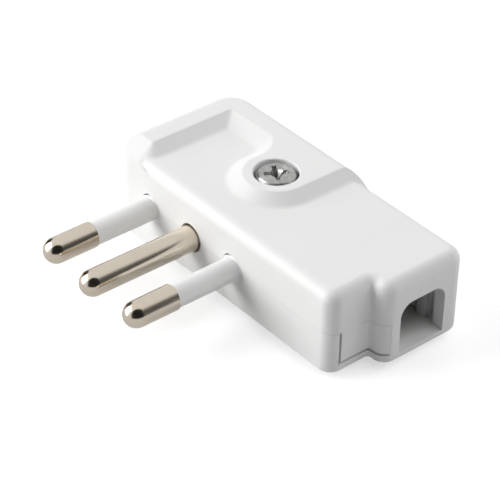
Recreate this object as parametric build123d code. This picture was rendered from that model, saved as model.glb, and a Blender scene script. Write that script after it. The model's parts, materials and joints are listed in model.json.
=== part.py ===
from build123d import *
import os
from math import radians, tan

# Angled mains plug: three round pins in one line, and a cable that leaves at right angles to them.
# Millimetres. The origin is on the earth pin's axis, in the face that meets the socket.
# The pins point to -Y, the cable leaves towards +X, and +Z is the side with the closing screw.

# Pins
PIN_PITCH = 9.5
PIN_DIAMETER = 4.0
LINE_PIN_LENGTH = 19.0
EARTH_PIN_LENGTH = 19.5
LINE_NECK_DIAMETER = 2.9
EARTH_NECK_DIAMETER = 3.6
PIN_HOLE_CLEARANCE = 0.3

# Insulating sleeves of the two outer pins
SLEEVE_LENGTH = 10.8
SLEEVE_DIAMETER = 3.65
SLEEVE_BORE_CLEARANCE = 0.02
SLEEVE_COLLAR_GAP = 0.04
SLEEVE_FLARE = 0.12
COLLAR_FLAT_DEPTH = 0.25
COLLAR_FLAT_TURN = -25.0

# Pillar terminals turned on the pins' rear ends
BARREL_DIAMETER = 5.8
BARREL_LENGTH = 6.1
BARREL_CHAMFER = 0.3
BARREL_SEAT_GAP = 0.05
WIRE_HOLE_DIAMETER = 2.6
WIRE_HOLE_DEPTH = 5.0
TERMINAL_SCREW_FROM_REAR = 2.55
TERMINAL_SCREW_DIAMETER = 2.5
TERMINAL_HEAD_DIAMETER = 4.0
TERMINAL_HEAD_HEIGHT = 1.5
TERMINAL_HEAD_LIFT = 0.4
TERMINAL_HEADROOM = 0.4
THREAD_CLEARANCE = 0.02
SLOT_WIDTH = 0.7
SLOT_DEPTH = 0.8

# Housing, seen from above
GRIP_END = 17.6
SHOULDER_END = 30.6
WIDTH = 22.5
GRIP_FRONT_CORNER = 2.8
GRIP_BACK_CORNER = 4.0
SHOULDER_CORNER = 2.2
NOSE_INNER_CORNER = 0.45
NOSE_FLAT = 0.45
NOSE_FRONT_CORNER = 2.1
NOSE_BACK_CORNER = 2.4

# Housing walls and edges
WALL = 2.0
COVER_ROOF = 1.9
BASE_FLOOR = 1.1
COVER_EDGE_RADIUS = 1.95
BASE_EDGE_RADIUS = 0.6

# Seam between the shells, with a lip on the base that enters the cover
SEAM_HEIGHT = 0.3
SEAM_GAP = 0.02
LIP_WIDTH = 0.8
LIP_HEIGHT = 0.9
LIP_CLEARANCE = 0.1

# Raised grip ridge: along the closed end, along the back and round the closing screw.
# The cover's end rim also falls off towards the pin face, and the back rim has a slope of its own.
COVER_RIDGE = 1.4
BASE_RIDGE = 1.1
RIDGE_SLOPE = 32.0
RIDGE_ROOT_SHARE = 0.75
RIDGE_CREST_RADIUS = 0.8
RIDGE_FRONT_FOOT = 1.05
COVER_RIM_WIDTH = 6.75
BASE_RIM_WIDTH = 8.4
RIM_FRONT_CORNER = 2.4
BACK_RIM_WIDTH = 7.1
BACK_RIM_RUN = 2.8
RIDGE_BOSS_RADIUS = 7.2
BOSS_NECK_RISE = 3.7
BOSS_NECK_CORNER = 0.1

# Closing screw, its nut and its posts
BOSS_X = 4.15
POST_GAP = 0.35
BASE_POST_DIAMETER = 8.0
COVER_POST_DIAMETER = 6.8
COVER_SCREW_DIAMETER = 3.0
COVER_SCREW_CLEARANCE = 0.2
COVER_HEAD_DIAMETER = 6.0
COVER_HEAD_HEIGHT = 2.2
COVER_HEAD_DOME = 0.25
COUNTERBORE_CLEARANCE = 0.4
COUNTERBORE_EDGE_RADIUS = 0.25
CROSS_WIDTH = 0.9
CROSS_LENGTH = 3.6
CROSS_DEPTH = 1.2
NUT_WIDTH = 5.5
NUT_HEIGHT = 2.4
NUT_SINK = 0.3
NUT_POCKET_CLEARANCE = 0.06

# Seats of the pins
CRADLE_BED = 2.5
CRADLE_THICKNESS = 1.0
CRADLE_DROP = 0.2
CRADLE_INSET = 0.9
CRADLE_CLEARANCE = 0.05
BARRIER_THICKNESS = 1.0
BARRIER_TOP = 3.0
REAR_STOP_WIDTH = 4.0
REAR_STOP_DROP = 0.3
HOLD_DOWN_WIDTH = 3.2
HOLD_DOWN_LENGTH = 1.2

# Cable entry in the nose
ENTRY_WIDTH = 8.4
ENTRY_TOP = 2.8
ENTRY_TOP_RADIUS = 2.2
ENTRY_FROM_BACK = 8.0
NOSE_CHEEK = 2.95
ENTRY_RIB_SLOT = 1.75
ENTRY_RIB_THICKNESS = 1.5
ENTRY_POST = 1.5

# Tongue of the cover that closes a notch in the base's shoulder
TONGUE_GAP = 0.4
TONGUE_BACK_GAP = 0.05
TONGUE_SILL = 0.25
TONGUE_LINE_REACH = 1.5
TONGUE_LINE_WIDTH = 0.12
TONGUE_LINE_DEPTH = 0.06

# Cord clamp
CLAMP_FROM_NOSE = 9.2
CLAMP_SPAN = 11.0
CLAMP_WIDTH = 4.0
CLAMP_THICKNESS = 2.4
CLAMP_END_GAP = 0.3
CLAMP_POST_HEIGHT = 4.2
CLAMP_POST_DIAMETER = 4.0
CLAMP_SADDLE_RADIUS = 4.2
CLAMP_SADDLE_DEPTH = 0.9
CLAMP_SCREW_DIAMETER = 2.2
CLAMP_SCREW_LENGTH = 6.0
CLAMP_HOLE_CLEARANCE = 0.15
CLAMP_HEAD_DIAMETER = 3.8
CLAMP_HEAD_HEIGHT = 1.4
GRIP_RIB_RADIUS = 0.6
GRIP_RIB_PITCH = 2.4

# Margin by which cutting solids overrun a face, tolerance for picking edges,
# and the share of a corner's radius that the edge over it may be rounded by
OVERRUN = 1.0
NEAR = 0.001
CORNER_SHARE = 0.95

# Places that follow from the sizes above
PIN_HOLE_DIAMETER = PIN_DIAMETER + 2 * PIN_HOLE_CLEARANCE
BARREL_FRONT = WALL + BARREL_SEAT_GAP
BARREL_REAR = BARREL_FRONT + BARREL_LENGTH
BARREL_TOP = BARREL_DIAMETER / 2
TERMINAL_Y = BARREL_REAR - TERMINAL_SCREW_FROM_REAR
ROOF = BARREL_TOP + TERMINAL_HEAD_LIFT + TERMINAL_HEAD_HEIGHT + TERMINAL_HEADROOM
FLOOR = -(BARREL_TOP + CRADLE_BED)
COVER_PLATEAU = ROOF + COVER_ROOF
BASE_PLATEAU = FLOOR - BASE_FLOOR
COVER_TOP = COVER_PLATEAU + COVER_RIDGE
BASE_BOTTOM = BASE_PLATEAU - BASE_RIDGE
COVER_RIM = SEAM_HEIGHT + SEAM_GAP
LIP_TOP = SEAM_HEIGHT + LIP_HEIGHT
BOSS_Y = BARREL_REAR + POST_GAP + BASE_POST_DIAMETER / 2
HEAD_SEAT = COVER_TOP - COVER_HEAD_HEIGHT
NUT_BOTTOM = BASE_BOTTOM + NUT_SINK
NUT_TOP = NUT_BOTTOM + NUT_HEIGHT
NOSE_END = SHOULDER_END + NOSE_INNER_CORNER + NOSE_FLAT + NOSE_FRONT_CORNER
ENTRY_Y = WIDTH - ENTRY_FROM_BACK
ENTRY_LEFT = ENTRY_Y - ENTRY_WIDTH / 2
ENTRY_RIGHT = ENTRY_Y + ENTRY_WIDTH / 2
NOSE_SIDE = ENTRY_LEFT - NOSE_CHEEK
ENTRY_RIB_X = NOSE_END - WALL - ENTRY_RIB_SLOT
NOTCH_FRONT = SHOULDER_CORNER - TONGUE_GAP
NOTCH_BACK = ENTRY_LEFT - ENTRY_POST
NOTCH_BOTTOM = FLOOR + TONGUE_SILL
CLAMP_X = NOSE_END - CLAMP_FROM_NOSE
CLAMP_OUTER_Y = WIDTH - WALL - CLAMP_END_GAP - CLAMP_WIDTH / 2
CLAMP_INNER_Y = CLAMP_OUTER_Y - CLAMP_SPAN
CLAMP_Y = (CLAMP_OUTER_Y + CLAMP_INNER_Y) / 2
CLAMP_SEAT = FLOOR + CLAMP_POST_HEIGHT
CLAMP_TOP = CLAMP_SEAT + CLAMP_THICKNESS
PIN_PLACES = {"grip_side": -PIN_PITCH, "earth": 0.0, "cable_side": PIN_PITCH}


def prism(profile, bottom, top):
    """Raise a flat profile from one height to another."""
    return extrude(Pos(0, 0, bottom) * profile, top - bottom, dir=(0, 0, 1))


def block(x_range, y_range, z_range):
    """A box between two limits on each axis."""
    sizes = [high - low for low, high in (x_range, y_range, z_range)]
    centre = [(high + low) / 2 for low, high in (x_range, y_range, z_range)]
    return Pos(*centre) * Box(*sizes)


def upright(x, y, diameter, bottom, top):
    """A round post or bore parallel to Z."""
    return Pos(x, y, (bottom + top) / 2) * Cylinder(diameter / 2, top - bottom)


def along_pin(x, diameter, front, rear):
    """A round bar or bore on a pin's axis, parallel to Y."""
    return Pos(x, (front + rear) / 2, 0) * Rot(90, 0, 0) * Cylinder(diameter / 2, rear - front)


def upper_face(solid):
    return solid.faces().sort_by(Axis.Z)[-1]


def housing_outline():
    """Outline of both shells from above, with the nose for the cable at one end."""
    corners = [
        (-GRIP_END, 0),
        (SHOULDER_END, 0),
        (SHOULDER_END, NOSE_SIDE),
        (NOSE_END, NOSE_SIDE),
        (NOSE_END, WIDTH),
        (-GRIP_END, WIDTH),
    ]
    radii = [
        GRIP_FRONT_CORNER,
        SHOULDER_CORNER,
        NOSE_INNER_CORNER,
        NOSE_FRONT_CORNER,
        NOSE_BACK_CORNER,
        GRIP_BACK_CORNER,
    ]
    return make_face(FilletPolyline(*corners, radius=radii, close=True))


OUTLINE = housing_outline()


def inset(distance):
    """The housing's outline moved inwards."""
    return offset(OUTLINE, -distance)


def ridge_outline(rim_width, spread, margin, falls_to_front):
    """Foot of the end rim and the boss, widened inwards, which overruns the housing on its outer sides."""
    rim_foot = rim_width - GRIP_END + spread
    rim_front = RIDGE_FRONT_FOOT - spread if falls_to_front else -margin
    back_foot = BOSS_Y + BOSS_NECK_RISE - spread
    boss_radius = RIDGE_BOSS_RADIUS + spread
    boss_start = BOSS_X - boss_radius
    boss_end = BOSS_X + boss_radius
    sides = Polyline(
        (boss_start, BOSS_Y),
        (boss_start, back_foot),
        (rim_foot, back_foot),
        (rim_foot, rim_front),
        (-GRIP_END - margin, rim_front),
        (-GRIP_END - margin, WIDTH + margin),
        (boss_end, WIDTH + margin),
        (boss_end, BOSS_Y),
    )
    boss = CenterArc((BOSS_X, BOSS_Y), boss_radius, 180, 180)
    foot = make_face([sides.edges(), boss.edges()])
    foot = fillet(foot.vertices().sort_by_distance((boss_start, back_foot, 0))[0], BOSS_NECK_CORNER)
    return fillet(foot.vertices().sort_by_distance((rim_foot, rim_front, 0))[0], RIM_FRONT_CORNER + spread)


def sloping_block(outline, bottom, top, run, drop):
    """An outline raised to a height, with sloping sides under a rounded crest."""
    solid = prism(outline, bottom, top)
    crown = upper_face(solid)
    solid = chamfer(crown.edges(), run, drop, reference=crown)
    return fillet(upper_face(solid).edges(), RIDGE_CREST_RADIUS)


def grip_ridge(rim, plateau, ridge_height, rim_width, edge_radius, falls_to_front):
    """The ridge on its own. Its slopes go on below the plateau, so that they run out over rounded edges."""
    root = RIDGE_ROOT_SHARE * edge_radius
    steepness = tan(radians(RIDGE_SLOPE))
    run = (ridge_height + root) / steepness
    margin = 2 * run
    ridge_top = plateau + ridge_height
    foot = ridge_outline(rim_width, root / steepness, margin, falls_to_front)
    back_rim = Polyline(
        (-GRIP_END - margin, WIDTH - BACK_RIM_WIDTH),
        (BOSS_X, WIDTH - BACK_RIM_WIDTH),
        (BOSS_X, WIDTH + margin),
        (-GRIP_END - margin, WIDTH + margin),
        close=True,
    )
    ridge = sloping_block(foot, rim, ridge_top, run, ridge_height + root)
    return ridge + sloping_block(make_face(back_rim), rim, ridge_top, BACK_RIM_RUN, ridge_height)


def rounded_prism(bottom, top, edge_radius):
    """The housing's outline raised to a height, with its upper edge rounded."""
    tightest_corner = min(NOSE_FRONT_CORNER, SHOULDER_CORNER, GRIP_FRONT_CORNER)
    solid = prism(OUTLINE, bottom, top)
    return fillet(upper_face(solid).edges(), min(edge_radius, CORNER_SHARE * tightest_corner))


def shell_blank(rim, plateau, ridge_height, rim_width, edge_radius, falls_to_front):
    """One shell before it is hollowed: a low plateau with the sloping grip ridge standing on it."""
    low = rounded_prism(rim, plateau, edge_radius)
    high = rounded_prism(rim, plateau + ridge_height, edge_radius)
    return low + (high & grip_ridge(rim, plateau, ridge_height, rim_width, edge_radius, falls_to_front))


def cable_passage():
    """The way in for the cable: square below, with rounded corners above."""
    corners = [
        (ENTRY_LEFT, FLOOR),
        (ENTRY_RIGHT, FLOOR),
        (ENTRY_RIGHT, ENTRY_TOP),
        (ENTRY_LEFT, ENTRY_TOP),
    ]
    radii = [0, 0, ENTRY_TOP_RADIUS, ENTRY_TOP_RADIUS]
    profile = make_face(FilletPolyline(*corners, radius=radii, close=True))
    inner_end = NOSE_END - WALL - OVERRUN
    return extrude(Plane.YZ.offset(inner_end) * profile, NOSE_END + OVERRUN - inner_end, dir=(1, 0, 0))


def entry_ribs(bottom, top):
    """Inner pair of ribs that guide the cable behind the end wall, one of them on the back wall."""
    x_range = (ENTRY_RIB_X - ENTRY_RIB_THICKNESS, ENTRY_RIB_X)
    inner_post = block(x_range, (ENTRY_LEFT - ENTRY_POST, ENTRY_LEFT), (bottom, top))
    back_rib = block(x_range, (ENTRY_RIGHT, WIDTH - WALL / 2), (bottom, top))
    return [inner_post, back_rib]


def shoulder_wall(front, back, bottom, top, depth=WALL):
    """The stretch of end wall between two distances from the pin face, round the corner of the nose."""
    stretch = block((SHOULDER_END - WALL - OVERRUN, NOSE_END + OVERRUN), (front, back), (bottom, top))
    return prism(OUTLINE - inset(depth), bottom, top) & stretch


def pin_holes(slot_top=None):
    """Holes for the pins in the front wall, open upwards where the pins are laid in from above."""
    holes = [along_pin(x, PIN_HOLE_DIAMETER, -OVERRUN, WALL + OVERRUN) for x in PIN_PLACES.values()]
    if slot_top is not None:
        half = PIN_HOLE_DIAMETER / 2
        y_range = (-OVERRUN, WALL + OVERRUN)
        holes += [block((x - half, x + half), y_range, (0, slot_top)) for x in PIN_PLACES.values()]
    return holes


def cover():
    shell = shell_blank(
        COVER_RIM, COVER_PLATEAU, COVER_RIDGE, COVER_RIM_WIDTH, COVER_EDGE_RADIUS, falls_to_front=True
    )
    shell -= prism(inset(WALL), COVER_RIM - OVERRUN, ROOF)
    shell += upright(BOSS_X, BOSS_Y, COVER_POST_DIAMETER, SEAM_HEIGHT, ROOF + COVER_ROOF / 2)
    for x in PIN_PLACES.values():
        shell += block(
            (x - HOLD_DOWN_WIDTH / 2, x + HOLD_DOWN_WIDTH / 2),
            (WALL / 2, WALL + HOLD_DOWN_LENGTH),
            (BARREL_TOP + CRADLE_CLEARANCE, ROOF + COVER_ROOF / 2),
        )
    shell += entry_ribs(COVER_RIM, ROOF + COVER_ROOF / 2)
    groove = inset(WALL - LIP_WIDTH - LIP_CLEARANCE) - inset(WALL + LIP_CLEARANCE)
    shell -= prism(groove, COVER_RIM - OVERRUN, LIP_TOP + LIP_CLEARANCE)
    tongue_front = NOTCH_FRONT + TONGUE_GAP
    tongue_back = NOTCH_BACK - TONGUE_BACK_GAP
    shell += shoulder_wall(tongue_front, tongue_back, NOTCH_BOTTOM + TONGUE_GAP, LIP_TOP + OVERRUN)
    line_front = NOSE_SIDE - TONGUE_LINE_REACH
    line_bottom = COVER_RIM - TONGUE_LINE_WIDTH
    shell -= shoulder_wall(line_front, tongue_back, line_bottom, COVER_RIM, depth=TONGUE_LINE_DEPTH)
    shell -= upright(
        BOSS_X, BOSS_Y, COVER_SCREW_DIAMETER + 2 * COVER_SCREW_CLEARANCE, SEAM_HEIGHT - OVERRUN, COVER_TOP
    )
    counterbore = COVER_HEAD_DIAMETER + 2 * COUNTERBORE_CLEARANCE
    shell -= upright(BOSS_X, BOSS_Y, counterbore, HEAD_SEAT, COVER_TOP + OVERRUN)
    shell -= pin_holes()
    shell -= cable_passage()
    hole_rim = shell.edges().filter_by(GeomType.CIRCLE).group_by(Axis.Z)[-1]
    return fillet(hole_rim, COUNTERBORE_EDGE_RADIUS)


def base():
    upside_down = shell_blank(
        -SEAM_HEIGHT, -BASE_PLATEAU, BASE_RIDGE, BASE_RIM_WIDTH, BASE_EDGE_RADIUS, falls_to_front=False
    )
    shell = mirror(upside_down, about=Plane.XY)
    shell -= prism(inset(WALL), FLOOR, SEAM_HEIGHT + OVERRUN)
    lip = inset(WALL - LIP_WIDTH) - inset(WALL)
    shell += prism(lip, SEAM_HEIGHT - LIP_HEIGHT, LIP_TOP)
    footing = FLOOR - BASE_FLOOR / 2
    shell += upright(BOSS_X, BOSS_Y, BASE_POST_DIAMETER, footing, SEAM_HEIGHT)
    shell += pin_seats(footing)
    shell += clamp_bed(footing)
    shell += entry_ribs(footing, SEAM_HEIGHT)
    shell -= pin_holes(slot_top=LIP_TOP + OVERRUN)
    shell -= shoulder_wall(NOTCH_FRONT, NOTCH_BACK, NOTCH_BOTTOM, LIP_TOP + OVERRUN)
    shell -= cable_passage()
    screw_bore = COVER_SCREW_DIAMETER + 2 * COVER_SCREW_CLEARANCE
    shell -= upright(BOSS_X, BOSS_Y, screw_bore, BASE_BOTTOM - OVERRUN, SEAM_HEIGHT + OVERRUN)
    shell -= Pos(BOSS_X, BOSS_Y, 0) * prism(
        hexagon(NUT_WIDTH + 2 * NUT_POCKET_CLEARANCE), BASE_BOTTOM - OVERRUN, NUT_TOP
    )
    for y in (CLAMP_INNER_Y, CLAMP_OUTER_Y):
        shell -= upright(
            CLAMP_X, y, CLAMP_SCREW_DIAMETER + 2 * THREAD_CLEARANCE,
            CLAMP_TOP - CLAMP_SCREW_LENGTH - THREAD_CLEARANCE, CLAMP_SEAT + OVERRUN,
        )
    return shell


def pin_seats(footing):
    """Cradles under the barrels, stops behind them and barriers between them."""
    seats = []
    rib_half = (PIN_PITCH - BARRIER_THICKNESS) / 2 + BARRIER_THICKNESS / 4
    rib_starts = (BARREL_FRONT + CRADLE_INSET, BARREL_REAR - CRADLE_INSET - CRADLE_THICKNESS)
    for x in PIN_PLACES.values():
        bed = along_pin(x, BARREL_DIAMETER + 2 * CRADLE_CLEARANCE, 0, BARREL_REAR)
        for y in rib_starts:
            rib = block((x - rib_half, x + rib_half), (y, y + CRADLE_THICKNESS), (footing, -CRADLE_DROP))
            seats.append(rib - bed)
        stop_front = BARREL_REAR + BARREL_SEAT_GAP
        seats.append(block(
            (x - REAR_STOP_WIDTH / 2, x + REAR_STOP_WIDTH / 2),
            (stop_front, stop_front + CRADLE_THICKNESS),
            (footing, -WIRE_HOLE_DIAMETER / 2 - REAR_STOP_DROP),
        ))
    for x in (-PIN_PITCH / 2, PIN_PITCH / 2):
        x_range = (x - BARRIER_THICKNESS / 2, x + BARRIER_THICKNESS / 2)
        seats.append(block(x_range, (WALL / 2, BARREL_REAR), (footing, SEAM_HEIGHT)))
        seats.append(block(x_range, (WALL + LIP_CLEARANCE, BARREL_REAR), (footing, BARRIER_TOP)))
    return seats


def clamp_bed(footing):
    """Posts for the clamp's screws, and two ribs that bite into the cable between them."""
    bed = []
    for y in (CLAMP_INNER_Y, CLAMP_OUTER_Y):
        bed.append(upright(CLAMP_X, y, CLAMP_POST_DIAMETER, footing, CLAMP_SEAT))
    for x in (CLAMP_X - GRIP_RIB_PITCH / 2, CLAMP_X + GRIP_RIB_PITCH / 2):
        rib = Pos(x, CLAMP_Y, FLOOR) * Rot(90, 0, 0) * Cylinder(GRIP_RIB_RADIUS, CLAMP_SPAN)
        bed.append(rib & block(
            (x - GRIP_RIB_RADIUS, x + GRIP_RIB_RADIUS),
            (CLAMP_INNER_Y, CLAMP_OUTER_Y),
            (footing, FLOOR + GRIP_RIB_RADIUS),
        ))
    return bed


def hexagon(width_across_flats):
    return RegularPolygon(width_across_flats / 2, 6, major_radius=False)


def turned_pin(length, neck_diameter, neck_front):
    """A pin and its terminal barrel, turned from one bar, with the wire and screw holes bored in it."""
    radius = PIN_DIAMETER / 2
    neck = neck_diameter / 2
    barrel = BARREL_DIAMETER / 2
    tip = CenterArc((0, radius - length), radius, 270, 90)
    sides = Polyline(
        (radius, radius - length),
        (radius, neck_front),
        (neck, neck_front),
        (neck, BARREL_FRONT),
        (barrel - BARREL_CHAMFER, BARREL_FRONT),
        (barrel, BARREL_FRONT + BARREL_CHAMFER),
        (barrel, BARREL_REAR - BARREL_CHAMFER),
        (barrel - BARREL_CHAMFER, BARREL_REAR),
        (0, BARREL_REAR),
        (0, -length),
    )
    pin = revolve(make_face([tip.edges(), sides.edges()]), Axis.Y)
    pin -= along_pin(0, WIRE_HOLE_DIAMETER, BARREL_REAR - WIRE_HOLE_DEPTH, BARREL_REAR + OVERRUN)
    tapped = TERMINAL_SCREW_DIAMETER + 2 * THREAD_CLEARANCE
    return pin - upright(0, TERMINAL_Y, tapped, 0, BARREL_TOP + OVERRUN)


def sleeve():
    """Insulation moulded on a line pin, with a collar that fills the wall's hole but for a gate flat."""
    collar_diameter = PIN_HOLE_DIAMETER - 2 * SLEEVE_COLLAR_GAP
    tube = along_pin(0, SLEEVE_DIAMETER, -SLEEVE_LENGTH, WALL)
    tube += along_pin(0, collar_diameter, 0, WALL)
    at_pin_face = tube.edges().filter_by_position(Axis.Y, -NEAR, NEAR)
    tube = chamfer(at_pin_face.sort_by(SortBy.RADIUS)[0], SLEEVE_FLARE)
    flat = collar_diameter / 2 - COLLAR_FLAT_DEPTH
    tube -= Rot(0, COLLAR_FLAT_TURN, 0) * block(
        (-collar_diameter, collar_diameter), (-SLEEVE_FLARE, WALL + OVERRUN), (flat, collar_diameter)
    )
    return tube - along_pin(0, LINE_NECK_DIAMETER + 2 * SLEEVE_BORE_CLEARANCE, -SLEEVE_LENGTH, WALL)


def terminal_screw():
    """Slotted cheese-head screw that presses a wire in the barrel."""
    head_seat = BARREL_TOP + TERMINAL_HEAD_LIFT
    head_top = head_seat + TERMINAL_HEAD_HEIGHT
    screw = upright(0, TERMINAL_Y, TERMINAL_SCREW_DIAMETER, 0, head_seat)
    screw += upright(0, TERMINAL_Y, TERMINAL_HEAD_DIAMETER, head_seat, head_top)
    slot = block(
        (-TERMINAL_HEAD_DIAMETER, TERMINAL_HEAD_DIAMETER),
        (TERMINAL_Y - SLOT_WIDTH / 2, TERMINAL_Y + SLOT_WIDTH / 2),
        (head_top - SLOT_DEPTH, head_top + OVERRUN),
    )
    return screw - slot


def cross_recess(top):
    """Two crossing slots that narrow towards their bottom, as in a cross-head screw."""
    blade = make_face(Polyline(
        (-CROSS_LENGTH / 2, top + OVERRUN),
        (-CROSS_LENGTH / 2, top),
        (-CROSS_WIDTH / 2, top - CROSS_DEPTH),
        (CROSS_WIDTH / 2, top - CROSS_DEPTH),
        (CROSS_LENGTH / 2, top),
        (CROSS_LENGTH / 2, top + OVERRUN),
        close=True,
    ))
    wing = extrude(Plane.XZ * blade, CROSS_WIDTH / 2, both=True)
    return wing + Rot(0, 0, 90) * wing


def domed_screw(diameter, tip, seat, head_diameter, head_height, dome):
    """A screw with a slightly domed head and a cross recess, standing on the Z axis."""
    crown = seat + head_height
    dome_radius = ((head_diameter / 2) ** 2 + dome**2) / (2 * dome)
    head = upright(0, 0, head_diameter, seat, crown) & Pos(0, 0, crown - dome_radius) * Sphere(dome_radius)
    screw = upright(0, 0, diameter, tip, seat) + head
    return screw - cross_recess(crown)


def nut():
    bore = COVER_SCREW_DIAMETER + 2 * THREAD_CLEARANCE
    body = prism(hexagon(NUT_WIDTH), NUT_BOTTOM, NUT_TOP)
    return body - upright(0, 0, bore, NUT_BOTTOM - OVERRUN, NUT_TOP + OVERRUN)


def cord_clamp():
    """Bar with round ends, a hole at each end and a hollow for the cable on its underside."""
    bar = prism(SlotCenterToCenter(CLAMP_SPAN, CLAMP_WIDTH, rotation=90), CLAMP_SEAT, CLAMP_TOP)
    saddle = Pos(0, 0, CLAMP_SEAT + CLAMP_SADDLE_DEPTH - CLAMP_SADDLE_RADIUS)
    bar -= saddle * Rot(0, 90, 0) * Cylinder(CLAMP_SADDLE_RADIUS, CLAMP_WIDTH + OVERRUN)
    hole = CLAMP_SCREW_DIAMETER + 2 * CLAMP_HOLE_CLEARANCE
    for y in (-CLAMP_SPAN / 2, CLAMP_SPAN / 2):
        bar -= upright(0, y, hole, CLAMP_SEAT - OVERRUN, CLAMP_TOP + OVERRUN)
    return bar


def assembly():
    """Every piece of the plug by name, in its place."""
    boss = Pos(BOSS_X, BOSS_Y, 0)
    pieces = {"cover": cover(), "base": base()}
    line_pin = turned_pin(LINE_PIN_LENGTH, LINE_NECK_DIAMETER, -SLEEVE_LENGTH)
    for name, x in PIN_PLACES.items():
        pieces[name + "_terminal_screw"] = Pos(x, 0, 0) * terminal_screw()
        if name == "earth":
            pieces["earth_pin"] = Pos(x, 0, 0) * turned_pin(EARTH_PIN_LENGTH, EARTH_NECK_DIAMETER, 0)
        else:
            pieces[name + "_pin"] = Pos(x, 0, 0) * line_pin
            pieces[name + "_sleeve"] = Pos(x, 0, 0) * sleeve()
    pieces["cover_screw"] = boss * domed_screw(
        COVER_SCREW_DIAMETER, NUT_BOTTOM, HEAD_SEAT, COVER_HEAD_DIAMETER, COVER_HEAD_HEIGHT, COVER_HEAD_DOME
    )
    pieces["cover_nut"] = boss * nut()
    pieces["cord_clamp"] = Pos(CLAMP_X, CLAMP_Y, 0) * cord_clamp()
    for name, y in (("inner", CLAMP_INNER_Y), ("outer", CLAMP_OUTER_Y)):
        pieces[name + "_clamp_screw"] = Pos(CLAMP_X, y, 0) * domed_screw(
            CLAMP_SCREW_DIAMETER, CLAMP_TOP - CLAMP_SCREW_LENGTH, CLAMP_TOP,
            CLAMP_HEAD_DIAMETER, CLAMP_HEAD_HEIGHT, COVER_HEAD_DOME,
        )
    return pieces


os.makedirs("parts", exist_ok=True)
for node, piece in assembly().items():
    export_step(piece, "parts/" + node + ".step")
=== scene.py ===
# %% [markdown]
# # An angled mains plug
# The plug is two white moulded shells on three plated pins, closed by one screw.
# Its solids come in as a fixed frame, so nothing here moves or resizes them. What this lesson
# adds is what a solid can't hold: the finish of each surface, the light, and fine machined detail.

# %% Load the plug's solids
import json
from math import cos, pi, radians, sin, tan

import bmesh
import bpy
from mathutils import Matrix, Vector
from mathutils.bvhtree import BVHTree


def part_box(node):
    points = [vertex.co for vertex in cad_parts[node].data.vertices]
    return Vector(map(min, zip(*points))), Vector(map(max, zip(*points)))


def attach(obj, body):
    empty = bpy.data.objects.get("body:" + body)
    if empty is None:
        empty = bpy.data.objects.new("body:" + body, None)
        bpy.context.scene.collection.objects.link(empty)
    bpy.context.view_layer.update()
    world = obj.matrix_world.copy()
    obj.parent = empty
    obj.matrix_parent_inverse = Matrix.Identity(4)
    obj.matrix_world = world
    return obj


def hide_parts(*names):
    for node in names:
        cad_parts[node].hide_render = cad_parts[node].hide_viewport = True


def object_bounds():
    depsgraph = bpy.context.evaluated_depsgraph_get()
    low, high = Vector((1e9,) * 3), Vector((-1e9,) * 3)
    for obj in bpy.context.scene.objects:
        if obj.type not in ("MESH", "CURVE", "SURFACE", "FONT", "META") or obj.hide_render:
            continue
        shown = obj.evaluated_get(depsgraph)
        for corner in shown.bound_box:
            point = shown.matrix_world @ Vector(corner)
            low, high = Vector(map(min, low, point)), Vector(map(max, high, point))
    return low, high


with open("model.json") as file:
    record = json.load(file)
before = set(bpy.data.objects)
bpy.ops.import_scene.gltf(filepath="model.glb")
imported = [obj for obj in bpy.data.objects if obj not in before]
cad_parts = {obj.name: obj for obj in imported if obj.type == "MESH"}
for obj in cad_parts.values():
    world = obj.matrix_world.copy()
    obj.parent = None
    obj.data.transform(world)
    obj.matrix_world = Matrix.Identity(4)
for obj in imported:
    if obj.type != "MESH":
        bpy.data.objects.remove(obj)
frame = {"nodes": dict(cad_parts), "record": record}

cad_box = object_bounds()
nodes = frame["nodes"]
MM = 0.001
print("plug loaded:", len(nodes), "pieces")

# %% [markdown]
# ## The camera
# The picture looks down on the plug from in front of the cable end, through a long lens.
# A camera is easiest to aim from two angles and a distance, so its three axes are worked out
# from those, and a small roll levels the picture as the photographer's hand did.

# %% Place the camera
VIEW_AZIMUTH = radians(49.67)
VIEW_ELEVATION = radians(36.21)
VIEW_ROLL = radians(1.23)
VIEW_DISTANCE = 302.1 * MM
AIM_RIGHT = 8.65 * MM
AIM_UP = -1.60 * MM
IMAGE_SIDE = 500
FOCAL_PIXELS = 2084
SENSOR = 36.0
CLIP_START = 10 * MM

backward = Vector((
    sin(VIEW_AZIMUTH) * cos(VIEW_ELEVATION),
    -cos(VIEW_AZIMUTH) * cos(VIEW_ELEVATION),
    sin(VIEW_ELEVATION),
))
level_right = Vector((cos(VIEW_AZIMUTH), sin(VIEW_AZIMUTH), 0))
level_up = backward.cross(level_right)
right = level_right * cos(VIEW_ROLL) + level_up * sin(VIEW_ROLL)
up = level_up * cos(VIEW_ROLL) - level_right * sin(VIEW_ROLL)
target = level_right * AIM_RIGHT + level_up * AIM_UP
camera_data = bpy.data.cameras.new("camera")
camera_data.lens = FOCAL_PIXELS / IMAGE_SIDE * SENSOR
camera_data.sensor_width = SENSOR
camera_data.clip_start = CLIP_START
camera = bpy.data.objects.new("camera", camera_data)
bpy.context.scene.collection.objects.link(camera)
camera.matrix_world = Matrix.Translation(target + backward * VIEW_DISTANCE) @ Matrix(
    (right, up, backward)
).transposed().to_4x4()
bpy.context.scene.camera = camera
bpy.context.scene.view_settings.view_transform = "Standard"
print("camera at", [round(value / MM, 1) for value in camera.location], "mm")

# %% [markdown]
# ## The table
# A white sheet lies under the plug. It takes the plug's shadow like any pale board. A glow is
# added for what the camera sees, so the sheet reads as white there, and a little of it for what
# the pins mirror. The plug gets no light from the glow, because that would flatten its shades.
# A camera below the table looks through the sheet, so that the underside can be seen too.
# What a ray sees is chosen by numbers, so two helpers come first that join numbers in a material.

# %% Choose by the kind of ray


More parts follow.
